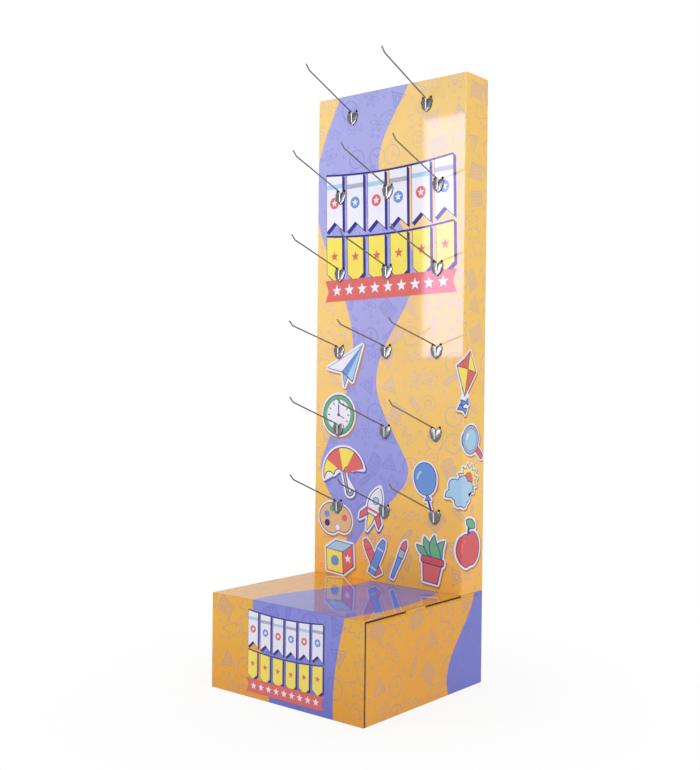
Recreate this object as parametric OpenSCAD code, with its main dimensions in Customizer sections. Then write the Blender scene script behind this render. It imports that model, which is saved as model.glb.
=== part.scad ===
// Floor display stand of folded corrugated board: a base box, a back column and rows of wire hooks.
// Millimetres, +Z up, the front looks along -Y, origin on the floor under the middle of the base.

/* [Stand] */
// Width of the stand, left to right
stand_w = 400; // [340:5:600]
// Depth of the base, front to back
base_d = 398; // [320:2:600]
// Height of the base box
base_h = 195; // [120:5:320]
// Height of the whole stand
stand_h = 1268; // [1000:4:1800]
// Depth of the back column
column_d = 82; // [50:1:140]

/* [Board] */
// Thickness of the corrugated board
board_t = 4; // [3:0.1:6]
// Outside radius of a folded edge
fold_r = 2.5; // [1:0.1:3]
// Gap left where a cut edge meets another panel
joint_gap = 0.8; // [0.4:0.1:1.5]

/* [Base] */
// Length of the tongue that each side wall pushes up through the lid
tongue_l = 65; // [30:1:100]
// Width of the flange that each side wall folds in under the lid
flange_w = 38; // [20:1:60]
// Width of the flaps that are glued behind a neighbouring panel
glue_flap_w = 34; // [20:1:50]
// Length of the flap that the lid turns down at its rear edge
lid_flap_l = 60; // [20:1:100]

/* [Column] */
// Length of the flaps that the top panel turns down inside the column
top_flap_l = 36; // [20:1:60]
// Height of the inner sleeve above the top of the base
sleeve_rise = 120; // [40:5:140]
// Clearance around the inner sleeve
sleeve_fit = 0.3; // [0.2:0.1:1]

/* [Hook pattern] */
// Rows of hooks
hook_rows = 6; // [2:1:6]
// Hooks in each row under the top one
full_row_hooks = 3; // [2:1:3]
// Hooks in the top row
top_row_hooks = 2; // [2:1:3]
// Top of the column to the plates of the top row
top_row_drop = 52; // [35:1:100]
// Top of the base to the plates of the bottom row
bottom_row_rise = 155; // [60:5:260]
// Side of the column to the outer hooks of a full row
side_margin = 67.5; // [30:0.5:110]
// Side of the column to the hooks of the top row
top_side_margin = 99.5; // [30:0.5:140]

/* [Hook plate] */
// Width of the heart-shaped plate
plate_w = 30; // [26:0.5:44]
// Top of the lobes above the middle of the plate
plate_top = 13; // [12:0.5:18]
// Point of the heart below the middle of the plate
plate_toe = 16; // [12:0.5:24]
// Thickness of the steel sheet
plate_t = 1.2; // [0.8:0.1:1.6]
// Depth of the pressed plate, from the board to its face
plate_rise = 2.8; // [2.4:0.1:4]
// Radius of the two lobes
lobe_r = 7.7; // [7:0.1:10]
// Radius of the heart's round belly
belly_r = 12.8; // [11:0.1:15]
// Middle of the belly below the middle of the plate
belly_drop = 0.6; // [0:0.1:2]
// Radius of the rounded point
toe_r = 2.5; // [1.8:0.1:4]
// Spacing of the two tangs and of their holes in the board
tang_pitch = 20.5; // [19:0.5:24]
// Width of a tang
tang_w = 3; // [2:0.1:3.4]
// Length of the tang's end that turns up behind the board
tang_hook_l = 8; // [4:0.5:14]
// Diameter of a hole in the board
hole_d = 5; // [4.2:0.1:7]
// Middle of the plate to the centres of its holes
hole_rise = 14; // [13:0.5:18]

/* [Hook wire] */
// Diameter of the wire
wire_d = 3; // [2:0.1:4]
// Start of the wire's leg below the middle of the plate
leg_drop = 10; // [4:0.5:12]
// Height of the bend above the middle of the plate
bend_rise = 12; // [8:0.5:16]
// Length of the arm, from bend to bend
arm_l = 156; // [80:1:250]
// Length of the upturned tip
tip_l = 15; // [8:0.5:30]
// Angle between the arm and the tip
tip_turn = 26; // [10:1:60]
// Radius of the wire's bends, at its middle
wire_bend_r = 6; // [4:0.5:10]
// Depth of the seat pressed into the plate for the wire
seat_depth = 0.4; // [0.1:0.1:0.6]

/* [Hidden] */
$fn = 48;
overrun = 1; // how far a cut runs past the surface it opens
steel_fit = 0.05; // clearance between steel pieces, and of a tang in its hole
tang_clear = 0.3; // gap between the turned-up tang and the back of the board
bend_swell = 0.02; // how much the wire thickens where it is bent
bend_lap = 0.2; // how far a straight length of wire runs into its bend
wire_rises = [23, 21, 19, 15, 19, 22]; // angle of the arm above the horizontal, row by row from the top

half_w = stand_w / 2;
front_y = -base_d / 2;
rear_y = base_d / 2;
column_y = rear_y - column_d; // front face of the column
inner_half_w = half_w - board_t;
lid_under = base_h - board_t;
lid_rear = column_y + board_t;
sleeve_top = base_h + sleeve_rise;
lid_half_w = inner_half_w - joint_gap; // the lid between the tongues and under the column
tongue_near = (front_y + column_y - tongue_l) / 2;
tongue_far = tongue_near + tongue_l;

row_pitch = (stand_h - top_row_drop - base_h - bottom_row_rise) / (hook_rows - 1);
plate_half_w = plate_w / 2;
wire_r = wire_d / 2;
hole_r = hole_d / 2;
tang_low = hole_rise - sqrt(hole_r * hole_r - tang_w * tang_w / 4) + steel_fit;
tang_high = tang_low + plate_t;
wire_out = plate_rise + wire_r - seat_depth; // the leg's axis, out from the board

function hooks_in(row) = row == 0 ? top_row_hooks : full_row_hooks;
function row_margin(row) = row == 0 ? top_side_margin : side_margin;
function row_z(row) = stand_h - top_row_drop - row * row_pitch;
function hook_x(row, col) =
    let (reach = half_w - row_margin(row)) -reach + 2 * reach * col / (hooks_in(row) - 1);
function hook_name(piece, row, col) = str("hook_", piece, "_r", row + 1, "c", col + 1);

// A panel between two opposite corners
module slab(low, high) {
    translate(low) cube(high - low);
}

// Both sides of the stand: the children and their mirror image
module both_sides() {
    children();
    mirror([1, 0, 0]) children();
}

// What a fold takes off a square edge along +Z: the edge lies on the axis, the board towards -X and -Y
module fold_cut(length) {
    translate([0, 0, -overrun]) linear_extrude(length + 2 * overrun) difference() {
        translate([-fold_r, -fold_r]) square(fold_r + overrun);
        translate([-fold_r, -fold_r]) circle(fold_r);
    }
}

// The same for a fold in a corner between two panels, where nothing beyond the edge is cut
module inner_fold_cut(length) {
    linear_extrude(length) difference() {
        translate([-fold_r, -fold_r]) square(fold_r);
        translate([-fold_r, -fold_r]) circle(fold_r);
    }
}

// Lays a +Z cut along the width, with its board side towards the rear and below
module along_width() {
    translate([-half_w, 0, 0]) rotate([0, -90, 180]) children();
}

// The lid, its fold at the front and the flap at its rear, cut out for the tongues and the shoulders
module lid_strip() {
    difference() {
        union() {
            slab([-half_w, front_y, lid_under], [half_w, column_y - joint_gap, base_h]);
            slab([-lid_half_w, front_y, lid_under], [lid_half_w, lid_rear, base_h]);
        }
        both_sides() slab(
            [lid_half_w, tongue_near - joint_gap, lid_under - overrun],
            [half_w + overrun, tongue_far + joint_gap, base_h + overrun]
        );
    }
    slab([-lid_half_w, lid_rear - board_t, lid_under - lid_flap_l], [lid_half_w, lid_rear, base_h]);
}

// One side wall: it stands under the lid, and rises to the lid's top as a tongue and under the column
module side_wall() {
    slab([inner_half_w, front_y + board_t, 0], [half_w, rear_y, lid_under]);
    slab([inner_half_w, column_y, 0], [half_w, rear_y, base_h]);
    slab([inner_half_w, tongue_near, 0], [half_w, tongue_far, base_h]);
    slab(
        [half_w - flange_w, front_y + board_t, lid_under - board_t],
        [half_w, column_y - joint_gap, lid_under]
    );
    slab([half_w - glue_flap_w, front_y + board_t, 0], [half_w, front_y + 2 * board_t, lid_under]);
}

// The folds that show at a side wall: under the lid on both sides of the tongue, and behind the front wall
module side_fold_cuts() {
    translate([half_w, 0, lid_under]) rotate([-90, 0, 0]) mirror([0, 1, 0]) {
        translate([0, 0, front_y + board_t]) inner_fold_cut(tongue_near - front_y - board_t);
        translate([0, 0, tongue_far]) inner_fold_cut(column_y - tongue_far);
    }
    translate([half_w, front_y + board_t, 0]) mirror([0, 1, 0]) inner_fold_cut(lid_under);
    translate([half_w, rear_y, 0]) fold_cut(base_h);
    translate([half_w, front_y, 0]) rotate([-90, 0, 0]) fold_cut(base_d);
}

module base_box() {
    color("#F0AA38") difference() {
        union() {
            slab([-half_w, front_y, 0], [half_w, rear_y, board_t]);
            slab([-half_w, front_y, 0], [half_w, front_y + board_t, base_h]);
            slab([-half_w, rear_y - board_t, 0], [half_w, rear_y, base_h]);
            lid_strip();
            both_sides() side_wall();
        }
        both_sides() side_fold_cuts();
        translate([0, front_y, base_h]) along_width() fold_cut(stand_w);
        translate([0, front_y, 0]) mirror([0, 0, 1]) along_width() fold_cut(stand_w);
        translate([0, rear_y, 0]) mirror([0, 1, 0]) mirror([0, 0, 1]) along_width() fold_cut(stand_w);
    }
}

// The top panel folds back from the front panel and turns its flaps down inside the other three
module top_panel() {
    slab([-inner_half_w, column_y, stand_h - board_t], [inner_half_w, rear_y - board_t, stand_h]);
    slab(
        [-inner_half_w, rear_y - 2 * board_t, stand_h - top_flap_l],
        [inner_half_w, rear_y - board_t, stand_h]
    );
    both_sides() slab(
        [inner_half_w - board_t, column_y + board_t, stand_h - top_flap_l],
        [inner_half_w, rear_y - board_t, stand_h]
    );
}

// The folds of the top panel against the cut edges of the sides and the rear
module top_fold_cuts() {
    both_sides() translate([inner_half_w, 0, stand_h]) rotate([-90, 0, 0]) mirror([0, 1, 0])
        translate([0, 0, column_y]) inner_fold_cut(column_d - board_t);
    translate([0, rear_y - board_t, stand_h]) mirror([0, 1, 0]) along_width() inner_fold_cut(stand_w);
}

module back_column() {
    color("#F8C05A") difference() {
        union() {
            slab([-half_w, column_y, base_h], [half_w, column_y + board_t, stand_h]);
            slab([-half_w, rear_y - board_t, base_h], [half_w, rear_y, stand_h]);
            both_sides() slab([inner_half_w, column_y, base_h], [half_w, rear_y, stand_h]);
            top_panel();
            // glue flap of the left side, behind the rear panel and clear of the sleeve
            slab(
                [-half_w, rear_y - 2 * board_t, sleeve_top + joint_gap],
                [-half_w + glue_flap_w, rear_y - board_t, stand_h]
            );
        }
        both_sides() translate([half_w, column_y, base_h]) mirror([0, 1, 0]) fold_cut(stand_h - base_h);
        translate([half_w, rear_y, base_h]) fold_cut(stand_h - base_h);
        translate([-half_w, rear_y - board_t, base_h]) mirror([1, 0, 0])
            inner_fold_cut(stand_h - base_h);
        translate([0, column_y, stand_h]) along_width() fold_cut(stand_w);
        top_fold_cuts();
        each_hook() both_sides() translate([tang_pitch / 2, -overrun, hole_rise])
            rotate([-90, 0, 0]) cylinder(r = hole_r, h = board_t + 2 * overrun);
    }
}

module inner_sleeve() {
    out_x = inner_half_w - sleeve_fit;
    near_y = lid_rear + sleeve_fit;
    far_y = rear_y - board_t - sleeve_fit;
    color("#B98F5E") difference() {
        slab([-out_x, near_y, board_t], [out_x, far_y, sleeve_top]);
        slab(
            [-out_x + board_t, near_y + board_t, board_t - overrun],
            [out_x - board_t, far_y - board_t, sleeve_top + overrun]
        );
        both_sides() {
            translate([out_x, far_y, 0]) fold_cut(sleeve_top);
            translate([out_x, near_y, 0]) mirror([0, 1, 0]) fold_cut(sleeve_top);
        }
    }
}

// Places the children at one hook: the middle of its plate on the column's front face
module at_hook(row, col) {
    translate([hook_x(row, col), column_y, row_z(row)]) children();
}

module each_hook() {
    for (row = [0 : hook_rows - 1], col = [0 : hooks_in(row) - 1]) at_hook(row, col) children();
}

// The heart, drawn in by the inset: two lobes, a round belly and a rounded point
module heart(inset) {
    lobe = [plate_half_w - lobe_r, plate_top - lobe_r];
    belly = [0, -belly_drop];
    toe = [0, toe_r - plate_toe];
    lean = asin((belly_r - toe_r) / (belly.y - toe.y));
    out = [cos(lean), -sin(lean)];
    flank = [belly + (belly_r - inset) * out, toe + (toe_r - inset) * out];
    translate(toe) circle(toe_r - inset);
    intersection() {
        translate(belly) circle(belly_r - inset);
        translate([-plate_w / 2, lobe.y - plate_w]) square(plate_w);
    }
    polygon([belly, flank[0], flank[1], toe, [-flank[1].x, flank[1].y], [-flank[0].x, flank[0].y]]);
    for (side = [-1, 1]) translate([side * lobe.x, lobe.y]) circle(lobe_r - inset);
}

// The pressed plate: a heart-shaped face with its rim turned back to the board
module dished_heart() {
    rotate([90, 0, 0]) difference() {
        linear_extrude(plate_rise) heart(0);
        translate([0, 0, -overrun]) linear_extrude(plate_rise - plate_t + overrun) heart(plate_t);
    }
}

// A tang: an ear on the rim of the lobe that goes back through its hole and turns up behind the board
module tang() {
    behind = board_t + tang_clear;
    translate([(tang_pitch - tang_w) / 2, 0, 0]) {
        slab([0, -plate_t, plate_top - 2 * plate_t], [tang_w, 0, tang_high]);
        slab([0, -plate_t, tang_low], [tang_w, behind + plate_t, tang_high]);
        slab([0, behind, tang_low], [tang_w, behind + plate_t, tang_high + tang_hook_l]);
    }
}

module hook_plate() {
    color("#C9CCD2") difference() {
        union() {
            dished_heart();
            both_sides() tang();
        }
        translate([0, -wire_out, -plate_toe - overrun])
            cylinder(r = wire_r + steel_fit, h = plate_toe + plate_top + 2 * overrun);
    }
}

// One bend of the wire: it arrives along +Z and turns towards -Y
module wire_bend(turn) {
    translate([0, -wire_bend_r, 0]) rotate([90, 0, 90])
        rotate_extrude(angle = turn) translate([wire_bend_r, 0]) circle(wire_r + bend_swell);
}

// The frame at the end of a bend
module past_bend(turn) {
    translate([0, -wire_bend_r, 0]) rotate([turn, 0, 0]) translate([0, wire_bend_r, 0]) children();
}

// A straight length of wire from z = low to z = high
module wire_run(low, high) {
    translate([0, 0, low]) cylinder(r = wire_r, h = high - low);
}

module hook_wire(rise) {
    elbow = 90 - rise;
    elbow_run = wire_bend_r * tan(elbow / 2);
    tip_run = wire_bend_r * tan(tip_turn / 2);
    leg = leg_drop + bend_rise - elbow_run;
    arm = arm_l - elbow_run - tip_run;
    color("#B9BDC4") translate([0, -wire_out, -leg_drop]) {
        wire_run(0, leg + bend_lap);
        translate([0, 0, leg]) {
            wire_bend(elbow);
            past_bend(elbow) {
                wire_run(-bend_lap, arm + bend_lap);
                translate([0, 0, arm]) rotate([0, 0, 180]) {
                    wire_bend(tip_turn);
                    past_bend(tip_turn) wire_run(-bend_lap, tip_l - tip_run);
                }
            }
        }
    }
}

base_box();
back_column();
inner_sleeve();
for (row = [0 : hook_rows - 1], col = [0 : hooks_in(row) - 1]) {
    at_hook(row, col) hook_plate();
    at_hook(row, col) hook_wire(wire_rises[row % len(wire_rises)]);
}
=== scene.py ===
import math
import bpy
import bmesh
from mathutils import Matrix, Vector


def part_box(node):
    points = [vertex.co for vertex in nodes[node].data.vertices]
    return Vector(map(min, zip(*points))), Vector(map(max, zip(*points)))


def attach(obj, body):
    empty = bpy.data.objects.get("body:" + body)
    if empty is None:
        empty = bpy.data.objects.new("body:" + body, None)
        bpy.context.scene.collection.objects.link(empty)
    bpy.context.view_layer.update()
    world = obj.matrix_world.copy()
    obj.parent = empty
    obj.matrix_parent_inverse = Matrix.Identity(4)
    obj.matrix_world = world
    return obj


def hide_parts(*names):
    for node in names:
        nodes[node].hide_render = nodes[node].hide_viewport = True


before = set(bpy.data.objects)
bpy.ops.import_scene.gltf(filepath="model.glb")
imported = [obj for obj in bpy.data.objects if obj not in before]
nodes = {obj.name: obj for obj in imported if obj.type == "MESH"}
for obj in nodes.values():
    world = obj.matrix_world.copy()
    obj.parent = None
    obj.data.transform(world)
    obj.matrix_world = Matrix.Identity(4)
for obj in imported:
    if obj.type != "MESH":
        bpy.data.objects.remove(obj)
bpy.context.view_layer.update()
scene = bpy.context.scene
mm = 0.001
plateNames = sorted(name for name in nodes if name.startswith("hook_plate"))
print("frame loaded,", len(nodes), "nodes")

# main sizes, read from the frame
halfW, rearY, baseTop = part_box("base_box")[1]
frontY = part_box("base_box")[0].y
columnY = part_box("back_column")[0].y
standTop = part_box("back_column")[1].z

board = {
    "thick": 4 * mm,
    "foldRadius": 2.5 * mm,
    "jointGap": 0.8 * mm,
    "tongueLength": 65 * mm,
    "flutePitch": 7.5 * mm,
}
foldR = board["foldRadius"]
quarter = foldR * math.pi / 2  # length of board in a fold
lidUnder = baseTop - board["thick"]
tongueNear = (frontY + columnY - board["tongueLength"]) / 2
tongueFar = tongueNear + board["tongueLength"]

# camera
shot = {
    "eye": Vector((1399.79, -1712.32, 639.35)) * mm,
    "azimuth": math.radians(39.351),
    "elevation": math.radians(0.387),
    "roll": math.radians(0.629),
    "lens": 49.690,
}


def placeCamera():
    az, el, roll = shot["azimuth"], shot["elevation"], shot["roll"]
    back = Vector((math.sin(az) * math.cos(el), -math.cos(az) * math.cos(el), math.sin(el)))
    level = Vector((0, 0, 1)).cross(back).normalized()
    turn = Matrix.Rotation(roll, 3, back)
    right, up = turn @ level, turn @ back.cross(level)
    data = bpy.data.cameras.new("photoCamera")
    data.lens = shot["lens"]
    camera = bpy.data.objects.new("photoCamera", data)
    camera.matrix_world = Matrix.Translation(shot["eye"]) @ Matrix((right, up, back)).transposed().to_4x4()
    scene.collection.objects.link(camera)
    scene.camera = camera


placeCamera()
scene.view_settings.view_transform = "Standard"
print("camera placed")


# shader helpers
class Value:
    def __init__(self, socket):
        self.socket = socket

    def maths(self, operation, *others):
        inputs = dict(enumerate((self,) + others))
        return addNode(self.socket.id_data, "Math", {"operation": operation}, inputs)

    def __add__(self, other):
        return self.maths("ADD", other)

    def __sub__(self, other):
        return self.maths("SUBTRACT", other)

    def __rsub__(self, other):
        return self.maths("MULTIPLY_ADD", -1.0, other)

    def __mul__(self, other):
        return self.maths("MULTIPLY", other)

    def __truediv__(self, other):
        return self.maths("DIVIDE", other)

    def __abs__(self):
        return self.maths("ABSOLUTE")

    def __lt__(self, other):
        return self.maths("LESS_THAN", other)

    def __gt__(self, other):
        return self.maths("GREATER_THAN", other)

    def __or__(self, other):
        return self.maths("MAXIMUM", other)

    def __and__(self, other):
        return self.maths("MINIMUM", other)

    __radd__ = __add__
    __rmul__ = __mul__


def addNode(tree, kind, settings=None, inputs=None, output=0):
    made = tree.nodes.new("ShaderNode" + kind)
    for key, value in (settings or {}).items():
        if key == "stops":
            ramp = made.color_ramp
            while len(ramp.elements) < len(value):
                ramp.elements.new(1.0)
            for element, (position, colour) in zip(ramp.elements, value):
                element.position, element.color = position, colour
        else:
            setattr(made, key, value)
    for key, value in (inputs or {}).items():
        if isinstance(value, Value):
            tree.links.new(value.socket, made.inputs[key])
        else:
            made.inputs[key].default_value = value
    return Value(made.outputs[output]) if made.outputs else None


def newFinish(name):
    material = bpy.data.materials.new(name)
    material.use_nodes = True
    material.node_tree.nodes.clear()
    return material, material.node_tree


def surface(tree, shader):
    addNode(tree, "OutputMaterial", {}, {"Surface": shader})


def splitVector(tree, vector):
    return [addNode(tree, "SeparateXYZ", {}, {"Vector": vector}, axis) for axis in range(3)]


def mixColour(tree, factor, first, second, blend="MIX"):
    settings = {"data_type": "RGBA", "blend_type": blend}
    return addNode(tree, "Mix", settings, {0: factor, 6: first, 7: second}, 2)


def noise(tree, vector, scale, detail, roughness=0.5):
    inputs = {"Vector": vector, "Scale": scale, "Detail": detail, "Roughness": roughness}
    return addNode(tree, "TexNoise", {}, inputs)


def smoothRange(tree, value, low, high, start=0.0, end=1.0):
    inputs = {0: value, 1: low, 2: high, 3: start, 4: end}
    return addNode(tree, "MapRange", {"interpolation_type": "SMOOTHSTEP"}, inputs)


def mottled(tree, colour, vector, scale, spread):
    tone = noise(tree, vector, scale, 4.0) * spread + (1 - spread / 2)
    grey = addNode(tree, "CombineColor", {}, {0: tone, 1: tone, 2: tone})
    return mixColour(tree, 1.0, colour, grey, "MULTIPLY")


def bump(tree, height, distance, normal=None):
    inputs = {"Height": height, "Distance": distance}
    if normal:
        inputs["Normal"] = normal
    return addNode(tree, "Bump", {}, inputs)


def srgb(red, green, blue):
    def linear(part):
        part /= 255
        return part / 12.92 if part <= 0.04045 else ((part + 0.055) / 1.055) ** 2.4
    return (linear(red), linear(green), linear(blue), 1.0)


# laminated print: colours and finish shared by the sheets and the cut-outs printed on them
inks = {
    "white": srgb(236, 235, 247),
    "navy": srgb(48, 46, 132),
    "yellow": srgb(246, 228, 92),
    "coral": srgb(222, 108, 98),
    "red": srgb(213, 88, 82),
    "blue": srgb(108, 150, 216),
    "sky": srgb(168, 208, 236),
    "green": srgb(110, 176, 124),
    "tan": srgb(226, 184, 132),
    "grey": srgb(176, 178, 196),
    "orangeShade": srgb(190, 132, 62),
    "lavenderShade": srgb(104, 106, 176),
}
# height up the sheet in metres, and the ink there: it darkens towards the bottom, partly the print's own fade
# and partly painted shade where less light reaches low down
orangeFadeAndShade = [
    (0.0, srgb(232, 162, 13)),
    (0.15, srgb(237, 178, 54)),
    (0.22, srgb(246, 181, 70)),
    (0.42, srgb(248, 199, 96)),
    (0.62, srgb(247, 203, 115)),
    (1.20, srgb(245, 207, 123)),
]
lavenderFadeAndShade = [
    (0.0, srgb(110, 116, 202)),
    (0.15, srgb(136, 141, 219)),
    (0.33, srgb(145, 149, 222)),
    (0.45, srgb(154, 158, 226)),
    (0.75, srgb(168, 168, 226)),
    (1.20, srgb(168, 170, 226)),
]
orangeLineFadeAndShade = [(0.15, srgb(174, 150, 150)), (0.62, srgb(200, 180, 198))]
lavenderLineFadeAndShade = [(0.15, srgb(110, 114, 190)), (0.62, srgb(136, 138, 212))]
laminate = {
    "roughness": 0.05,
    "shine": (0.62, 0.55, 1.0, 1.0),
    "flute": 0.0012 * mm,
    "wave": 0.045 * mm,
    "waveScale": 3.2,
    "grain": 0.0004 * mm,
    "grainScale": 900.0,
    "cloud": 0.06,
    "cloudScale": 14.0,
    "foldMatt": 0.8,
    "sheetMottle": {"scale": 30.0, "spread": 0.05},
    "cutoutMottle": {"scale": 60.0, "spread": 0.06},
}


def fluteWave(along):
    return (along * (2 * math.pi / board["flutePitch"])).maths("SINE")


def laminatedPrint(tree, colour, sheet, u, matt=None):
    fluted = bump(tree, fluteWave(u), laminate["flute"])
    waved = bump(tree, noise(tree, sheet, laminate["waveScale"], 1.0), laminate["wave"], fluted)
    grained = bump(tree, noise(tree, sheet, laminate["grainScale"], 3.0), laminate["grain"], waved)
    roughness = noise(tree, sheet, laminate["cloudScale"], 3.0) * laminate["cloud"]
    roughness += laminate["roughness"] - laminate["cloud"] / 2
    if matt:
        roughness += matt
    inputs = {
        "Base Color": colour,
        "Roughness": roughness,
        "Normal": grained,
        "Specular Tint": laminate["shine"],
    }
    surface(tree, addNode(tree, "BsdfPrincipled", {}, inputs))


# line drawings, one in each cell of a loose grid; crumbs fill the gaps between them
doodle = {
    "cell": 56 * mm,
    "radius": 22.5 * mm,
    "line": 0.08,
    "wobble": 2.2 * mm,
    "wobbleScale": 45.0,
    "spread": 0.5,
    "turn": 2.2,
    "wearScale": 120.0,
    "faintest": 0.15,
    "wear": 0.9,
    "crumbCell": 0.6,
    "crumbSpread": 0.9,
    "crumbRadius": 0.1,
    "crumbLine": 0.04,
    "crumbClear": 1.15,
    "crumbStrength": 0.8,
}


def doodlePlace(tree, sheet):
    settings = {"voronoi_dimensions": "2D"}
    inputs = {"Vector": sheet, "Scale": 1 / doodle["cell"], "Randomness": doodle["spread"]}
    middle = addNode(tree, "TexVoronoi", settings, inputs, "Position")
    turnChance, kindChance, _ = splitVector(tree, addNode(tree, "TexVoronoi", settings, inputs, "Color"))
    inputs = {"Vector": sheet, "Scale": doodle["wobbleScale"], "Detail": 1.0}
    wobble = addNode(tree, "TexNoise", {}, inputs, "Color")
    reach = doodle["wobble"]
    drift = addNode(tree, "VectorMath", {"operation": "MULTIPLY_ADD"},
                    {0: wobble, 1: (reach,) * 3, 2: (-reach / 2,) * 3})
    local = addNode(tree, "VectorMath", {"operation": "SUBTRACT"}, {0: sheet, 1: middle})
    local = addNode(tree, "VectorMath", {"operation": "ADD"}, {0: local, 1: drift})
    along, across, _ = splitVector(tree, local)
    turn = (turnChance - 0.5) * doodle["turn"]
    cosine, sine = turn.maths("COSINE"), turn.maths("SINE")
    x = (along * cosine + across * sine) / doodle["radius"]
    y = (across * cosine - along * sine) / doodle["radius"]
    return x, y, kindChance


# each drawing is measured in its own radius: x and y from its middle, r and angle round it
def doodleLines(tree, sheet):
    x, y, kindChance = doodlePlace(tree, sheet)
    wide, tall = abs(x), abs(y)
    r = (x * x + y * y).maths("SQRT")
    angle = y.maths("ARCTAN2", x)

    def stroke(distance):
        return (1.4 - abs(distance) / doodle["line"]) & 1.0 | 0.0

    clock = stroke(r - 0.9) | (stroke(x) & (y > 0) & (y < 0.6)) | (stroke(y) & (x > 0) & (x < 0.42))
    sheetEdge = (wide | tall * 1.3) - 0.86
    rows = stroke(abs(tall - 0.3) - 0.13) & (wide < 0.68) & (wide > 0.2)
    page = stroke(sheetEdge) | (stroke(x) & (tall < 0.66)) | rows | (sheetEdge < 0) * 0.35
    triangle = wide * 0.866 + y * 0.5 | y * -1
    flag = stroke(triangle - 0.48) | stroke(triangle - 0.22)
    wave = stroke(tall - 0.2 - (x * 7.0).maths("SINE") * 0.22 * y.maths("SIGN")) & (wide < 0.95)
    star = stroke(r * (1 - (angle * 5).maths("COSINE") * 0.3) - 0.66)
    flower = stroke(r - 0.62 - (angle * 6).maths("COSINE") * 0.24) | stroke(r - 0.2)
    stickEdge = (wide - 0.2) | (tall - 0.72)
    point = stroke(y - 0.98 + wide * 1.3) & (wide < 0.22) & (y > 0.7)
    stick = stroke(stickEdge) | (stroke(y - 0.45) & (wide < 0.2)) | point | (stickEdge < 0) * 0.4
    curl = abs((r * 2.4 - angle / (2 * math.pi)).maths("FRACT") - 0.5) < 0.1
    curl = curl & (r < 0.95) & (r > 0.12)
    kinds = [clock, page, flag, wave, star, flower, stick, curl]
    pick = (kindChance * len(kinds)).maths("FLOOR")
    lines = 0.0
    for number, drawing in enumerate(kinds):
        lines = drawing * pick.maths("COMPARE", float(number), 0.5) + lines
    crumbScale = 1 / (doodle["crumbCell"] * doodle["cell"])
    inputs = {"Vector": sheet, "Scale": crumbScale, "Randomness": doodle["crumbSpread"]}
    crumb = addNode(tree, "TexVoronoi", {"voronoi_dimensions": "2D"}, inputs, "Distance")
    crumbs = (abs(crumb - doodle["crumbRadius"]) < doodle["crumbLine"]) * (r > doodle["crumbClear"])
    worn = noise(tree, sheet, doodle["wearScale"], 3.0) * doodle["wear"] + doodle["faintest"]
    return (lines | crumbs * doodle["crumbStrength"]) * worn


def inkRamp(tree, fade, height):
    top = fade[-1][0]
    stops = [(place / top, ink) for place, ink in fade]
    return addNode(tree, "ValToRGB", {"stops": stops}, {0: height / top})


# the ink stays the same above this height, in metres; parts turned away from the front have their own, lower
# heights, so their deeper ink is painted shade
inkTopAndShade = {"column": standTop, "columnSides": 0.5, "front": 0.15, "lid": 0.03, "baseSides": 0.02}


def printedSheet(name, band, folds, highest):
    material, tree = newFinish(name)
    sheet = addNode(tree, "UVMap", {"uv_map": "sheet"})
    u, v, _ = splitVector(tree, sheet)
    left, right = band(u, v)
    height = v & highest(u, v)
    strength = doodleLines(tree, sheet)
    # inks by height: darker low down, partly print and partly painted shade
    orange = inkRamp(tree, orangeFadeAndShade, height)
    orange = mixColour(tree, strength, orange, inkRamp(tree, orangeLineFadeAndShade, height))
    lavender = inkRamp(tree, lavenderFadeAndShade, height)
    lavender = mixColour(tree, strength, lavender, inkRamp(tree, lavenderLineFadeAndShade, height))
    colour = mixColour(tree, (left > 0) & (right > 0), orange, lavender)
    colour = mottled(tree, colour, sheet, **laminate["sheetMottle"])
    crease = 0.0
    for axis, place in folds:
        crease = (abs((u, v)[axis] - place) < quarter / 2) | crease
    laminatedPrint(tree, colour, sheet, u, crease * laminate["foldMatt"])
    return material


# edges of the lavender bands: middle, swing, length and peak of a wave up the sheet, in millimetres
bandEdges = {
    "columnLeft": (-150, 58, 720, 700),
    "columnRight": (24, 50, 470, 870),
    "lidLeft": (-62, 26, 500, -20),
    "lidRight": (150, 24, 620, 340),
    "sideLeft": (118, 50, 360, 210),
}
bandFoot = {"low": 0.30, "high": 0.46, "start": 95 * mm, "end": 0.0}  # narrows the column's band


def waveEdge(v, name):
    middle, swing, length, peak = [size * mm for size in bandEdges[name]]
    return ((v - peak) * (2 * math.pi / length)).maths("COSINE") * swing + middle


def columnBand(u, v):
    narrowing = smoothRange(v.socket.id_data, v, **bandFoot)
    return u - waveEdge(v, "columnLeft") - narrowing, waveEdge(v, "columnRight") - u - narrowing


def lidBand(u, v):
    return u - waveEdge(v, "lidLeft"), waveEdge(v, "lidRight") - u


def sideBand(u, v):
    return u - waveEdge(v, "sideLeft"), 1.0  # no right edge


# the column's sides stop at a lower ink height: painted shade on the sides
def columnInkAndShade(u, v):
    return (abs(u) > halfW) * (inkTopAndShade["columnSides"] - inkTopAndShade["column"]) + inkTopAndShade["column"]


# the lid stops at a low ink height: painted shade on the lid
def lidInkAndShade(u, v):
    return (v > lidFold) * (inkTopAndShade["lid"] - inkTopAndShade["front"]) + inkTopAndShade["front"]


# matt creases of each sheet: on u or v, and the place
columnFold = halfW - foldR + quarter / 2
topFold = standTop - foldR + quarter / 2
lidFold = baseTop - foldR + quarter / 2
columnFolds = [(0, columnFold), (0, -columnFold), (1, topFold)]
columnPrint = printedSheet("columnPrint", columnBand, columnFolds, columnInkAndShade)
lidPrint = printedSheet("frontAndLidPrint", lidBand, [(1, lidFold)], lidInkAndShade)
# the base's sides take the lowest ink: painted shade
sidePrint = printedSheet("sidePrint", sideBand, [(1, lidUnder - foldR)], lambda u, v: inkTopAndShade["baseSides"])


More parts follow.
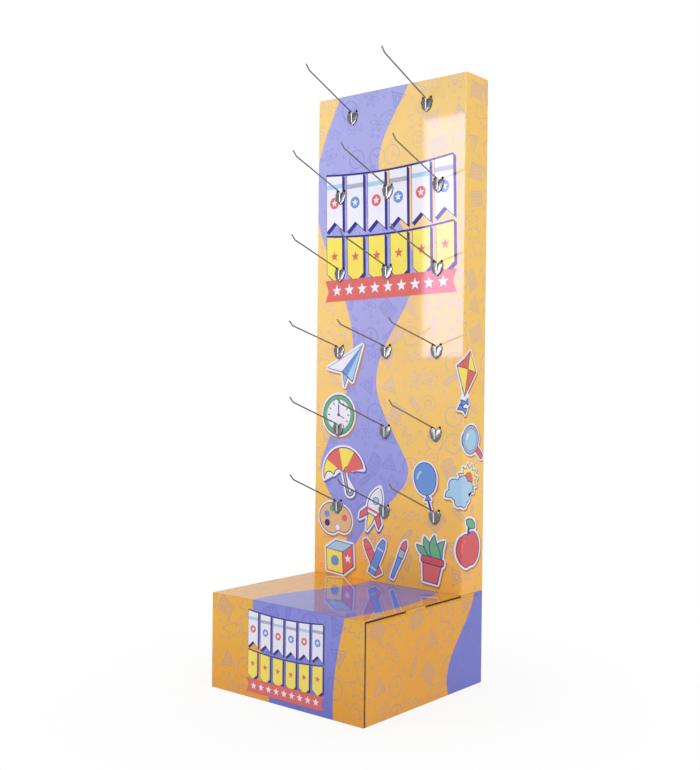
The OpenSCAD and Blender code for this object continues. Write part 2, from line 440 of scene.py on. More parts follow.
def cutoutPrint():
    material, tree = newFinish("cutoutPrint")
    sheet = addNode(tree, "UVMap", {"uv_map": "sheet"})
    ink = addNode(tree, "Attribute", {"attribute_name": "ink"})
    colour = mottled(tree, ink, sheet, **laminate["cutoutMottle"])
    laminatedPrint(tree, colour, sheet, splitVector(tree, sheet)[0])
    return material


cutoutFinish = cutoutPrint()

# bare board: brown liners, and flutes between them at the cut edges, with painted shade in the flute hollows
kraft = {
    "light": srgb(190, 150, 104),
    "dark": srgb(160, 120, 80),
    "hollowShade": srgb(40, 20, 12),
    "hole": srgb(30, 22, 18),
    "fibreScale": 260.0,
    "fibreShare": 0.4,
    "fibre": 0.05 * mm,
    "streakScale": (420.0, 420.0, 24.0),
    "streakShare": 0.35,
    "cloudScale": 9.0,
    "cloudShare": 0.25,
    "ripple": 0.012 * mm,
    "matt": 0.68,
    "mattSpread": 0.2,
    "liner": 0.45 * mm,
    "fluteSwing": 1.3 * mm,
    "fluteHalf": 0.3 * mm,
    "seamShade": 0.4 * mm,
    "skin": 0.05 * mm,  # what is this close to a face counts as on it
}


def inFlutes(depth):
    return (depth > kraft["liner"]) & (depth < board["thick"] - kraft["liner"])


def bareBoard(name):
    material, tree = newFinish(name)
    place = addNode(tree, "TexCoord", {}, {}, "Object")
    x, y, z = splitVector(tree, place)
    fibre = noise(tree, place, kraft["fibreScale"], 5.0, 0.6)
    stretch = addNode(tree, "Mapping", {}, {"Vector": place, "Scale": kraft["streakScale"]})
    streak = noise(tree, stretch, 1.0, 3.0)
    cloud = noise(tree, place, kraft["cloudScale"], 3.0)
    tone = fibre * kraft["fibreShare"] + streak * kraft["streakShare"] + cloud * kraft["cloudShare"]
    brown = addNode(tree, "ValToRGB", {"stops": [(0.3, kraft["dark"]), (0.7, kraft["light"])]}, {0: tone})
    # cut edges at the sides of the front wall and the lid, with painted shade between the liners
    depth = (z - lidUnder) | (frontY + board["thick"] - y)
    sideEdge = (abs(x) > halfW - kraft["skin"]) & (z < baseTop + kraft["skin"]) & inFlutes(depth)
    # cut edges on top of the column's sides and rear, with painted shade in the hollows between the flutes
    inWall = (halfW - abs(x)) & (rearY - y)
    flute = inWall - board["thick"] / 2 - fluteWave(x + y) * kraft["fluteSwing"]
    topEdge = (z > standTop - kraft["skin"]) & (abs(flute) > kraft["fluteHalf"]) & inFlutes(inWall)
    # painted shade inside the hook holes, and a painted shadow line along the seam between base and column at
    # the rear
    hole = (y < columnY + board["thick"]) & (abs(x) < halfW - 2 * board["thick"]) & (z > baseTop)
    seamShade = (abs(z - baseTop) < kraft["seamShade"]) & (y > rearY - 2 * kraft["skin"])
    colour = mixColour(tree, sideEdge | topEdge, brown, kraft["hollowShade"])
    colour = mixColour(tree, hole, colour, kraft["hole"])
    colour = mixColour(tree, seamShade, colour, kraft["hollowShade"])
    normal = bump(tree, fibre, kraft["fibre"], bump(tree, fluteWave(x), kraft["ripple"]))
    roughness = fibre * kraft["mattSpread"] + kraft["matt"]
    inputs = {"Base Color": colour, "Roughness": roughness, "Normal": normal}
    surface(tree, addNode(tree, "BsdfPrincipled", {}, inputs))
    return material


# bright zinc on the pressed plates and the drawn wire
zinc = {
    "tarnish": srgb(74, 72, 74),
    "spotScale": 420.0,
    "spotLow": 0.52,
    "spotHigh": 0.8,
    "spotStrength": 0.45,
    "spotMatt": 0.2,
    "scratch": 0.01 * mm,
    "scratchMatt": 0.16,
    "plateRoughness": 0.2,
    "plateScratches": (900.0, 900.0, 260.0),
    "wireRoughness": 0.24,
    "wireScratches": (1600.0, 120.0, 1600.0),
    # distance from the board, and the colour there: painted shade on the dark walls, painted highlight on the
    # bright shoulders, and a painted highlight on the wire's leg near the board
    "plate": [
        (0.0, srgb(36, 34, 34)),
        (1.9 * mm, srgb(36, 34, 34)),
        (2.05 * mm, srgb(148, 148, 154)),
        (2.32 * mm, srgb(129, 129, 135)),
        (2.6 * mm, srgb(108, 108, 115)),
    ],
    "wire": [(5.6 * mm, srgb(240, 240, 243)), (8.0 * mm, srgb(136, 134, 135))],
}


def zincSteel(name, part, rise=None):
    material, tree = newFinish(name)
    place = addNode(tree, "TexCoord", {}, {}, "Object")
    stretch = addNode(tree, "Mapping", {}, {"Vector": place, "Scale": zinc[part + "Scratches"]})
    lines = noise(tree, stretch, 1.0, 3.0)
    spots = noise(tree, place, zinc["spotScale"], 4.0, 0.6)
    dull = addNode(tree, "MapRange", {}, {0: spots, 1: zinc["spotLow"], 2: zinc["spotHigh"]})
    if rise:
        lift = addNode(tree, "Attribute", {"attribute_name": rise}, {}, "Fac")
    else:
        lift = columnY - splitVector(tree, place)[1]
    # colour by distance from the board: painted shade and painted highlights
    colour = mixColour(tree, dull * zinc["spotStrength"], inkRamp(tree, zinc[part], lift), zinc["tarnish"])
    roughness = lines * zinc["scratchMatt"] + dull * zinc["spotMatt"]
    roughness += zinc[part + "Roughness"] - zinc["scratchMatt"] / 2
    normal = bump(tree, lines, zinc["scratch"])
    inputs = {"Base Color": colour, "Metallic": 1.0, "Roughness": roughness, "Normal": normal}
    surface(tree, addNode(tree, "BsdfPrincipled", {}, inputs))
    return material


boardFinish = bareBoard("bareBoard")
plateFinish = zincSteel("zincPlate", "plate", "rise")
wireFinish = zincSteel("zincWire", "wire")
for nodeName, node in nodes.items():
    finish = boardFinish
    if nodeName.startswith("hook_plate"):
        finish = plateFinish
    elif nodeName.startswith("hook_wire"):
        finish = wireFinish
    node.data.materials.clear()
    node.data.materials.append(finish)
print("finishes made")


# sheets are laid out flat, with u along the width, v along the height and the thickness on z,
# then folded round the board
sheets = {
    "low": 0.02 * mm,
    "high": 0.24 * mm,
    "seamGap": 0.4 * mm,
    "slit": 0.4 * mm,
    "trim": 0.12 * mm,
    "bleed": 14 * mm,
    "topSideGap": 0.3 * mm,
    "topFrontGap": 0.05 * mm,
    "topRearGap": 0.5 * mm,
    "foldShare": 0.66,
}
partWrap = quarter * sheets["foldShare"]  # how far a print runs into a fold that closes against another panel
topInner = halfW - board["thick"] - sheets["topSideGap"]


def walkFolds(start, heading, hand, runs, distance, lift):
    place, ahead = Vector(start), Vector(heading)
    for number, run in enumerate(runs):
        outward = Vector((ahead.y, -ahead.x)) * hand
        if distance <= run or number == len(runs) - 1:
            return place + ahead * distance + outward * lift
        distance -= run
        place += ahead * run
        centre = place - outward * foldR
        if distance <= quarter:
            angle = distance / foldR
            return centre + (outward * math.cos(angle) + ahead * math.sin(angle)) * (foldR + lift)
        distance -= quarter
        place, ahead = centre + ahead * foldR, -outward


columnReach = halfW - foldR
columnDeep = rearY - columnY - 2 * foldR


def foldColumn(u, v, lift):
    side = 1 if u >= 0 else -1
    deep = columnDeep if side > 0 else columnDeep - board["thick"]
    place = walkFolds((0, columnY), (1, 0), 1, [columnReach, deep, halfW], abs(u), lift)
    return Vector((side * place.x, place.y, v))


def foldTop(u, v, lift):
    place = walkFolds((columnY, 0), (0, 1), -1, [standTop - foldR, halfW], v, lift)
    return Vector((u, place.x, place.y))


def foldFrontLid(u, v, lift):
    distance = v - foldR + quarter
    runs = [0, baseTop - 2 * foldR, 2 * halfW]
    place = walkFolds((frontY + foldR, 0), (-1, 0), -1, runs, distance, lift)
    return Vector((u, place.x, place.y))


def foldSide(u, v, lift, side):
    edge = sheets["slit"] / 2
    onTongue = tongueNear - edge < u < tongueFar + edge or u > columnY - edge
    top = lidUnder - foldR
    z = v
    bend = 0
    if v < foldR:
        bend, z = (foldR - v) / foldR, foldR
    elif v > top and not onTongue:
        bend, z = (v - top) / foldR, top
    if bend:
        z += math.copysign((foldR + lift) * math.sin(bend), v - foldR)
        lift = (foldR + lift) * math.cos(bend) - foldR
    wallFront = frontY + board["thick"]
    runs = [0, rearY - wallFront - 2 * foldR, halfW]
    distance = u - wallFront - foldR + quarter
    place = walkFolds((halfW - foldR, wallFront), (1, 0), 1, runs, distance, lift)
    return Vector((side * place.x, place.y, z))


# flat outlines, in millimetres
def circle(x, y, radius, count=36):
    steps = [2 * math.pi * i / count for i in range(count)]
    return [(x + radius * math.cos(a), y + radius * math.sin(a)) for a in steps]


def arc(x, y, radius, start, end, count):
    steps = [math.radians(start + (end - start) * i / count) for i in range(count + 1)]
    return [(x + radius * math.cos(a), y + radius * math.sin(a)) for a in steps]


def bow(x, y, outer, inner, start, end, count=8):
    return arc(x, y, outer, start, end, count) + arc(x, y, inner, end, start, count)


def bar(low, high, radius):
    (x0, y0), (x1, y1) = low, high
    corners = [(x1, y0, -90), (x1, y1, 0), (x0, y1, 90), (x0, y0, 180)]
    points = []
    for x, y, start in corners:
        inX = x - radius if x == x1 else x + radius
        inY = y - radius if y == y1 else y + radius
        points += arc(inX, inY, radius, start, start + 90, 5)
    return points


def star(x, y, tips, outer, inner):
    points = []
    for i in range(2 * tips):
        a = math.radians(90 + 180 * i / tips)
        radius = inner if i % 2 else outer
        points.append((x + radius * math.cos(a), y + radius * math.sin(a)))
    return points


def line(start, end, width):
    along = (Vector(end) - Vector(start)).normalized() * (width / 2)
    aside = Vector((-along.y, along.x))
    ends = (Vector(start) - along, Vector(end) + along)
    return [tuple(p) for p in (ends[0] - aside, ends[1] - aside, ends[1] + aside, ends[0] + aside)]


def polar(radius, count=48):
    steps = [2 * math.pi * i / count for i in range(count)]
    return [(radius(a) * math.cos(a), radius(a) * math.sin(a)) for a in steps]


def moved(points, dx, dy, turn=0.0, scale=1.0):
    cosine, sine = math.cos(math.radians(turn)) * scale, math.sin(math.radians(turn)) * scale
    return [(dx + x * cosine - y * sine, dy + x * sine + y * cosine) for x, y in points]


sharpest = 0.55  # keeps the mitre of a sharp corner short


def grown(points, distance):
    area = sum(a[0] * b[1] - b[0] * a[1] for a, b in zip(points, points[1:] + points[:1]))
    hand = 1 if area > 0 else -1
    result = []
    for i, here in enumerate(points):
        here = Vector(here)
        before = (here - Vector(points[i - 1])).normalized()
        after = (Vector(points[(i + 1) % len(points)]) - here).normalized()
        outs = [Vector((d.y, -d.x)) * hand for d in (before, after)]
        mitre = (outs[0] + outs[1]).normalized()
        reach = distance / max(mitre.dot(outs[0]), sharpest)
        result.append(tuple(here + mitre * reach))
    return result


def prism(bm, points, low, high, colour=None):
    ring = [bm.verts.new((x, y, low)) for x, y in points]
    floor = bm.faces.new(ring)
    top = bmesh.ops.extrude_face_region(bm, geom=[floor], use_keep_orig=True)["geom"]
    lifted = [e for e in top if isinstance(e, bmesh.types.BMVert)]
    bmesh.ops.translate(bm, verts=lifted, vec=(0, 0, high - low))
    if colour:
        layer = bm.loops.layers.float_color["ink"]
        for corner in (c for v in ring + lifted for c in v.link_loops):
            corner[layer] = colour


def cutAt(bm, axis, places):
    normal = Vector((axis == 0, axis == 1, 0))
    for place in places:
        geometry = bm.verts[:] + bm.edges[:] + bm.faces[:]
        bmesh.ops.bisect_plane(bm, geom=geometry, plane_co=normal * place, plane_no=normal, dist=1e-8)


def foldSteps(start, count=6):
    return [start + quarter * i / count for i in range(count + 1)]


def newObject(name, bm, material=None):
    mesh = bpy.data.meshes.new(name)
    bm.to_mesh(mesh)
    bm.free()
    if material:
        mesh.materials.append(material)
    made = bpy.data.objects.new(name, mesh)
    scene.collection.objects.link(made)
    return made


def finishPiece(name, bm, fold, material):
    sheet = bm.loops.layers.uv.new("sheet")
    for face in bm.faces:
        for corner in face.loops:
            corner[sheet].uv = corner.vert.co.xy
    for vert in bm.verts:
        vert.co = fold(*vert.co)
    bmesh.ops.recalc_face_normals(bm, faces=bm.faces[:])
    piece = newObject(name, bm, material)
    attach(piece, "root")
    return piece


def foldedSheet(name, outline, foldsAcross, foldsUp, fold, material):
    bm = bmesh.new()
    prism(bm, outline, sheets["low"], sheets["high"])
    for axis, starts in enumerate((foldsAcross, foldsUp)):
        for start in starts:
            cutAt(bm, axis, foldSteps(start))
    return finishPiece(name, bm, fold, material)


def columnSheet():
    low, high = baseTop + sheets["seamGap"], standTop - sheets["trim"]
    frontTop = standTop - foldR
    rightRear = columnReach + quarter + columnDeep
    leftRear = rightRear - board["thick"]
    right, left = rightRear + quarter + sheets["bleed"], -(leftRear + partWrap)
    outline = [(left, low), (right, low), (right, high), (topInner, high), (topInner, frontTop)]
    outline += [(-topInner, frontTop), (-topInner, high), (left, high)]
    folds = [columnReach, -columnReach - quarter, rightRear, -leftRear - quarter]
    return foldedSheet("columnSheet", outline, folds, [], foldColumn, columnPrint)


def topSheet():
    frontTop = standTop - foldR
    start = frontTop + sheets["topFrontGap"]
    end = frontTop + quarter + (rearY - board["thick"] - columnY - foldR) - sheets["topRearGap"]
    outline = [(-topInner, start), (topInner, start), (topInner, end), (-topInner, end)]
    return foldedSheet("topSheet", outline, [], [frontTop], foldTop, columnPrint)


def frontLidSheet():
    wide = halfW - sheets["trim"]
    slim = halfW - board["thick"] - board["jointGap"] - sheets["trim"]
    onLid = baseTop - foldR + quarter - frontY - foldR  # a lid place y is at this plus y
    gap = board["jointGap"] + sheets["trim"]
    near, far = onLid + tongueNear - gap, onLid + tongueFar + gap
    end = onLid + columnY - sheets["seamGap"]
    start = foldR - partWrap
    half = [(wide, start), (wide, near), (slim, near), (slim, far), (wide, far), (wide, end)]
    outline = half + [(-u, v) for u, v in reversed(half)]
    folds = [baseTop - foldR, foldR - quarter]
    return foldedSheet("frontAndLidSheet", outline, [], folds, foldFrontLid, lidPrint)


def sideSheet(name, side):
    slit = sheets["slit"]
    wallFront = frontY + board["thick"]
    near, far = wallFront + foldR - partWrap, rearY - foldR + quarter + sheets["bleed"]
    low, bend = foldR - partWrap, lidUnder - foldR
    hem, top = bend + partWrap, baseTop - sheets["seamGap"]
    outline = [(near, low), (far, low), (far, top), (columnY + slit, top), (columnY + slit, bend)]
    outline += [(columnY - slit, bend), (columnY - slit, hem)]
    outline += [(tongueFar + slit, hem), (tongueFar + slit, bend)]
    outline += [(tongueFar, bend), (tongueFar, baseTop), (tongueNear, baseTop), (tongueNear, bend)]
    outline += [(tongueNear - slit, bend), (tongueNear - slit, hem), (near, hem)]
    folds = [wallFront + foldR - quarter, rearY - foldR], [foldR - quarter, bend]
    return foldedSheet(name, outline, *folds, lambda u, v, lift: foldSide(u, v, lift, side), sidePrint)


column = columnSheet()
topSheet()
frontLidSheet()
sideSheet("rightSideSheet", 1)
sideSheet("leftSideSheet", -1)
print("printed sheets folded on")

# cut-outs printed on the sheets: each is a stack of thin inked layers, and neighbouring shapes of one ink
# share a layer; their sizes are in millimetres
layers = {"start": 0.27 * mm, "film": 0.012 * mm, "step": 0.018 * mm}
cutout = {"border": 4.6, "outline": 1.5, "shadow": (1.8, -2.6), "shadowGrow": 0.8, "rays": 240, "step": 1.0}


def inkedPiece(name, stack, place, fold, cuts=()):
    bm = bmesh.new()
    bm.loops.layers.float_color.new("ink")
    for number, layer in enumerate(stack):
        low = layers["start"] + number * layers["step"]
        for ink, points in layer:
            laid = [(x * mm, y * mm) for x, y in moved(points, *place)]
            prism(bm, laid, low, low + layers["film"], inks[ink])
    cutAt(bm, 0, cuts)
    return finishPiece(name, bm, fold, cutoutFinish)


def roundedBorder(bodies, distance, middle=None):
    dots = []
    for points in bodies:
        for a, b in zip(points, points[1:] + points[:1]):
            count = max(1, math.ceil(math.dist(a, b) / cutout["step"]))
            dots += [Vector(a).lerp(Vector(b), i / count) for i in range(count)]
    middle = middle or sum(dots, Vector((0, 0))) / len(dots)
    border = []
    for i in range(cutout["rays"]):
        angle = 2 * math.pi * i / cutout["rays"]
        ray = Vector((math.cos(angle), math.sin(angle)))
        reach = 0.0
        for dot in dots:
            spot = dot - middle
            aside = ray.x * spot.y - ray.y * spot.x
            if abs(aside) < distance:
                reach = max(reach, spot.dot(ray) + math.sqrt(distance ** 2 - aside ** 2))
        border.append(tuple(middle + ray * reach))
    return border


def bordered(shapes, shade):
    bodies = [points for ink, points, body in shapes if body]
    shadow = roundedBorder(bodies, cutout["border"] + cutout["shadowGrow"])
    border = roundedBorder(bodies, cutout["border"])
    stack = [[(shade, moved(shadow, *cutout["shadow"]))], [("white", border)]]
    before = None
    for ink, points, body in shapes:
        if body:
            stack += [[("navy", grown(points, cutout["outline"]))], [(ink, points)]]
        elif ink == before:
            stack[-1].append((ink, points))
        else:
            stack.append([(ink, points)])
        before = None if body else ink
    return stack


def apple():
    def radius(a):
        top, foot = math.degrees(a) - 90, math.degrees(a) - 270
        return 27 - 6 * math.exp(-(top / 20) ** 2) - 3 * math.exp(-(foot / 16) ** 2)
    leaf = arc(2, 24, 20, 100, 30, 8) + arc(16, 48, 20, -80, -150, 8)
    shapes = [("navy", line((0, 18), (4, 34), 3), True), ("green", leaf, True), ("red", polar(radius), True)]
    return shapes + [("coral", bow(0, 0, 20, 16, 120, 190), False)]


def paperPlane():
    wing = [(-40, 8), (40, 26), (-10, -6)]
    keel = [(-10, -6), (40, 26), (6, -26)]
    tail = [(-10, -6), (-12, -30), (0, -14)]
    return [("grey", tail, True), ("white", wing, True), ("sky", keel, True),
            ("blue", [(-10, -6), (40, 26), (-2, -15)], False)]


def kite():
    sail = [(0, 44), (26, 12), (0, -36), (-26, 12)]
    shapes = [("coral", sail, True), ("yellow", [(0, 44), (26, 12), (0, 12)], False)]
    shapes += [("yellow", [(0, 12), (0, -36), (-26, 12)], False)]
    shapes += [("navy", line((0, 43), (0, -35), 1.2), False), ("navy", line((-25, 12), (25, 12), 1.2), False)]
    knot = [(-9, 5), (0, 1), (9, 5), (9, -5), (0, -1), (-9, -5)]
    for x, y, turn in ((5, -47, 20), (2, -60, -15)):
        shapes.append(("blue", moved(knot, x, y, turn), True))
    return shapes


def balloon():
    shapes = [("navy", line((0, -34), (5, -64), 1.6), True), ("blue", [(0, -26), (6, -36), (-6, -36)], True)]
    body = polar(lambda a: 27 + 4 * math.sin(a) - 3 * math.cos(2 * a))
    return shapes + [("blue", body, True), ("sky", bow(0, 2, 20, 16, 110, 170), False)]


def umbrella():
    hook = bow(6, -34, 6, 3.2, 180, 360, 10)
    shapes = [("grey", line((1.4, 30), (1.4, -34), 2.8), True), ("grey", hook, True)]
    dome = arc(0, -6, 38, 0, 180, 24)
    for i in range(4):
        dome += arc(-28.5 + 19 * i, -6, 9.5, 180, 0, 8)[1:-1]
    shapes.append(("yellow", dome, True))
    for start, end in ((0, 45), (90, 135)):
        wedge = arc(0, -6, 38, start, end, 8) + [(0, -6)]
        shapes.append(("coral", wedge, False))
    return shapes


def wallClock():
    shapes = [("green", circle(0, 0, 32), True), ("white", circle(0, 0, 25), False)]
    for i in range(12):
        a = math.radians(30 * i)
        spoke = Vector((math.cos(a), math.sin(a)))
        shapes.append(("navy", line(spoke * 19, spoke * 22, 1.6), False))
    shapes += [("navy", line((0, 0), (0, 16), 2.2), False), ("coral", line((0, 0), (11, -5), 2.2), False)]
    return shapes + [("navy", circle(0, 0, 2.6, 16), False)]


def magnifier():
    shapes = [("coral", moved(bar((-5, -52), (5, -22), 4), 0, 0, 35), True), ("grey", circle(0, 0, 26), True)]
    shapes += [("navy", circle(0, 0, 20.6), False), ("sky", circle(0, 0, 20), False)]
    return shapes + [("white", bow(0, 0, 15, 11, 110, 165), False)]


def palette():
    body = polar(lambda a: 33 + 5 * math.cos(2 * a) - 9 * math.exp(-((math.degrees(a) - 300) / 22) ** 2))
    shapes = [("tan", body, True), ("navy", circle(8, -14, 6.6, 24), False)]
    shapes.append(("white", circle(8, -14, 5.8, 24), False))
    for ink, angle in (("coral", 20), ("yellow", 70), ("green", 120), ("blue", 168), ("navy", 216)):
        a = math.radians(angle)
        shapes.append((ink, circle(22 * math.cos(a), 20 * math.sin(a), 6.4, 20), False))
    return shapes


def crayons():
    shapes = []
    for ink, light, x, turn in (("coral", "red", -6, 24), ("blue", "sky", 8, -28)):
        body = [(-9, -38), (9, -38), (9, 26), (4, 42), (-4, 42), (-9, 26)]
        shapes.append((ink, moved(body, x, 0, turn), True))
        for low, high in ((-28, -24), (18, 22)):
            shapes.append((light, moved([(-9, low), (9, low), (9, high), (-9, high)], x, 0, turn), False))
    return shapes


def cloudAndSun():
    puff = polar(lambda a: (27 + 7 * abs(math.sin(3.5 * a))) * (1 if math.sin(a) > 0 else 0.62), 72)
    rays = star(16, 16, 12, 27, 19)
    return [("yellow", rays, True), ("coral", circle(16, 16, 14), False), ("sky", moved(puff, -4, -8), True)]


def rocket():
    hull = arc(-26, 0, 40, -28, 50, 10) + arc(26, 0, 40, 130, 208, 10)
    fins = [[(10, -6), (24, -26), (22, -36), (8, -22)], [(-10, -6), (-24, -26), (-22, -36), (-8, -22)]]
    shapes = [("yellow", [(-7, -18), (7, -18), (5, -34), (0, -48), (-5, -34)], True)]
    shapes += [("coral", fin, True) for fin in fins]
    shapes += [("white", hull, True), ("navy", circle(0, 6, 6.8, 24), False)]
    shapes.append(("sky", circle(0, 6, 5.6, 24), False))
    return shapes + [("coral", line((-9.5, -12), (9.5, -12), 4), False)]


def toyBlock():
    front = [(-28, -26), (8, -32), (8, 6), (-28, 12)]
    flank = [(8, -32), (30, -18), (30, 18), (8, 6)]
    lid = [(-28, 12), (8, 6), (30, 18), (-6, 24)]
    dot = moved(circle(0, 0, 9, 24), -10, -10)
    return [("yellow", front, True), ("coral", flank, True), ("sky", lid, True), ("blue", dot, False),
            ("white", moved(star(0, 0, 5, 8, 3.4), 19, -6), False)]


def pottedPlant():
    shapes = []
    for turn in (48, -48, 16, -16):
        leaf = arc(-12, 0, 26, -28, 62, 8) + arc(12, 24, 26, 152, 242, 8)
        shapes.append(("green", moved(leaf, 0, 4, turn, 0.95), True))
    pot = [(-18, 0), (18, 0), (13, -34), (-13, -34)]
    return shapes + [("coral", pot, True), ("red", bar((-21, -5), (21, 5), 3), True)]


def paintBrush():
    handle = [(-3, -56), (3, -56), (5, -10), (-5, -10)]
    tip = arc(-14, 12, 20, -15, 45, 6) + arc(14, 12, 20, 135, 195, 6)
    collar = [(-6, -10), (6, -10), (6, 8), (-6, 8)]
    return [("blue", handle, True), ("grey", collar, True), ("coral", tip, True)]


# where each cut-out lies on the column: place of its middle, turn and size
cutouts = [
    (paperPlane, -110, 664, 14, 1.34),
    (wallClock, -132, 556, 0, 1.36),
    (umbrella, -118, 434, 14, 1.5),
    (palette, -138, 322, -10, 1.22),
    (rocket, -26, 364, -20, 1.28),
    (toyBlock, -126, 242, 4, 1.3),
    (crayons, -26, 247, 4, 1.02),
    (kite, 212, 646, -12, 1.16),
    (magnifier, 228, 514, 14, 1.12),
    (cloudAndSun, 204, 410, 6, 1.2),
    (balloon, 108, 424, 10, 1.12),
    (apple, 226, 288, 8, 1.4),
    (pottedPlant, 128, 258, -6, 1.32),
    (paintBrush, 48, 266, -24, 1.1),
]
onLavender = (umbrella, rocket)
rightFold = foldSteps(columnReach)
for number, (motif, *place) in enumerate(cutouts):
    stack = bordered(motif(), "lavenderShade" if motif in onLavender else "orangeShade")
    inkedPiece(f"cutout{number + 1}_{motif.__name__}", stack, place, foldColumn, rightFold)
print("cut-outs printed")

# headline panel: a string of white flags, a string of yellow ones and a ribbon of stars, in millimetres
headline = {
    "onColumn": (0, 962, 1.5, 1.0),  # place of its middle, turn and size
    "onBase": (2, 96, 0.0, 0.57),
    "half": 172,
    "sag": 10,
    "stringSteps": 16,
    "stringRise": 3,
    "stringThick": 4.5,
    "white": {"count": 6, "wide": 46, "tall": 124, "top": 138, "notch": 20},
    "yellow": {"count": 6, "wide": 44, "tall": 82, "top": 0, "notch": -18},
    "stripe": {"near": 20, "far": 30},  # below the top of a white flag
    "badge": {"drop": 62, "radius": 13, "star": (5, 9, 3.8)},
    "yellowStar": {"rise": 56, "star": (5, 12, 5)},
    "ribbon": {"low": -148, "high": -100, "beyond": 6, "notch": 10},
    "ribbonStars": {"count": 9, "pitch": 36, "star": (5, 14, 5.8)},
    "drop": (6, -6),
    "dropSteps": 4,
    "outline": 1.2,
}


def stringY(x, top):
    return top - headline["sag"] * (1 - (x / headline["half"]) ** 2)


def flagRow(ink):
    row = headline[ink]
    wide, top = row["wide"], row["top"]
    pitch = (2 * headline["half"] - wide) / (row["count"] - 1)
    flags = []
    for i in range(row["count"]):
        x = -headline["half"] + i * pitch
        high = [(x + wide, stringY(x + wide, top)), (x, stringY(x, top))]
        low = stringY(x + wide / 2, top) - row["tall"]
        flags.append((ink, high + [(x, low), (x + wide / 2, low + row["notch"]), (x + wide, low)]))
    return flags


def stringLine(ink):
    count = headline["stringSteps"]
    steps = [headline["half"] * (2 * i / count - 1) for i in range(count + 1)]
    upper = [(x, stringY(x, headline[ink]["top"]) + headline["stringRise"]) for x in steps]
    return ("navy", upper + [(x, y - headline["stringThick"]) for x, y in reversed(upper)])


def flagMarks(whites, yellows):
    stripe, badge, yellowStar = headline["stripe"], headline["badge"], headline["yellowStar"]
    wide = headline["white"]["wide"] / 2
    marks, stars = [], []
    for i, (ink, points) in enumerate(whites):
        x = points[3][0]
        top = stringY(x, headline["white"]["top"])
        near, far = top - stripe["near"], top - stripe["far"]
        band = [(x - wide, far), (x - wide, near), (x + wide, near), (x + wide, far)]
        marks.append((("sky", "grey")[i % 2], band))
        marks.append((("coral", "blue")[i % 2], circle(x, top - badge["drop"], badge["radius"])))
        stars.append(("white", star(x, top - badge["drop"], *badge["star"])))
    for ink, points in yellows:
        x, y = points[3]
        marks.append(("coral", star(x, y + yellowStar["rise"], *yellowStar["star"])))
    return marks, stars


def ribbonLayers():
    ribbon, row = headline["ribbon"], headline["ribbonStars"]
    half, low, high = headline["half"] + ribbon["beyond"], ribbon["low"], ribbon["high"]
    middle, inner = (low + high) / 2, half - ribbon["notch"]
    band = [(-half, low), (half, low), (inner, middle), (half, high), (-half, high), (-inner, middle)]
    places = [row["pitch"] * (i - (row["count"] - 1) / 2) for i in range(row["count"])]
    return [[("coral", band)], [("white", star(x, middle, *row["star"])) for x in places]]


def headlineStack():
    dx, dy = headline["drop"]
    whites, yellows = flagRow("white"), flagRow("yellow")
    stack = []
    for step in range(headline["dropSteps"], -1, -1):
        share = step / headline["dropSteps"]
        stack.append([("navy", moved(grown(points, headline["outline"]), dx * share, dy * share))
                      for ink, points in whites + yellows])
    marks, stars = flagMarks(whites, yellows)
    stack += [whites + yellows, marks, stars, [stringLine("white"), stringLine("yellow")]]
    return stack + ribbonLayers()


columnHeadline = inkedPiece("columnHeadline", headlineStack(), headline["onColumn"], foldColumn)
inkedPiece("baseHeadline", headlineStack(), headline["onBase"], foldFrontLid)
print("headlines printed")


# holes for the hooks' tangs, read from the plates, go through the sheet and what is printed on it
hookHole = {"radius": 3.1 * mm, "spacing": 20.5 * mm, "aboveToe": 30 * mm, "segments": 24}


def punchHoles(*pieces):
    bm = bmesh.new()
    radius = hookHole["radius"]
    for name in plateNames:
        low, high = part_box(name)
        for side in (-1, 1):
            x = (low.x + high.x + side * hookHole["spacing"]) / 2
            place = Matrix.Translation((x, columnY, low.z + hookHole["aboveToe"]))
            bmesh.ops.create_cone(bm, cap_ends=True, segments=hookHole["segments"], radius1=radius,
                                  radius2=radius, depth=2 * board["thick"],
                                  matrix=place @ Matrix.Rotation(math.radians(90), 4, "X"))
    punch = newObject("punch", bm)
    for piece in pieces:
        cut = piece.modifiers.new("holes", "BOOLEAN")
        cut.object, cut.operation, cut.solver = punch, "DIFFERENCE", "EXACT"
        punched = bpy.data.meshes.new_from_object(piece.evaluated_get(bpy.context.evaluated_depsgraph_get()))
        piece.modifiers.clear()
        piece.data = punched
    bpy.data.objects.remove(punch)


punchHoles(column, columnHeadline)
print("hook holes punched")


# heart plates with a rolled rim, in place of the plain ones, in millimetres
heart = {
    "half": 15,
    "top": 13,
    "toe": 16,
    "lobe": 7.7,
    "belly": 12.8,
    "bellyDrop": 0.6,
    "toeRadius": 2.5,
    "notchRadius": 0.5,
    # size of each ring against the outline, and its distance from the board
    "rings": [(1, 0), (1, 1.95), (0.985, 2.15), (0.95, 2.3), (0.89, 2.44), (0.8, 2.58),
              (0.6, 2.82), (0.35, 3.02), (0.12, 3.1)],
    "crown": -5,
    "lean": 0.085,
    "sharpAngle": 40,
    "tangNear": 8.75,
    "tangWide": 3,
    "tangBoxes": [((-1.2, 10.6), (0, 13.25)), ((-1.2, 12.05), (5.5, 13.25)), ((4.3, 12.05), (5.5, 21.25))],
}


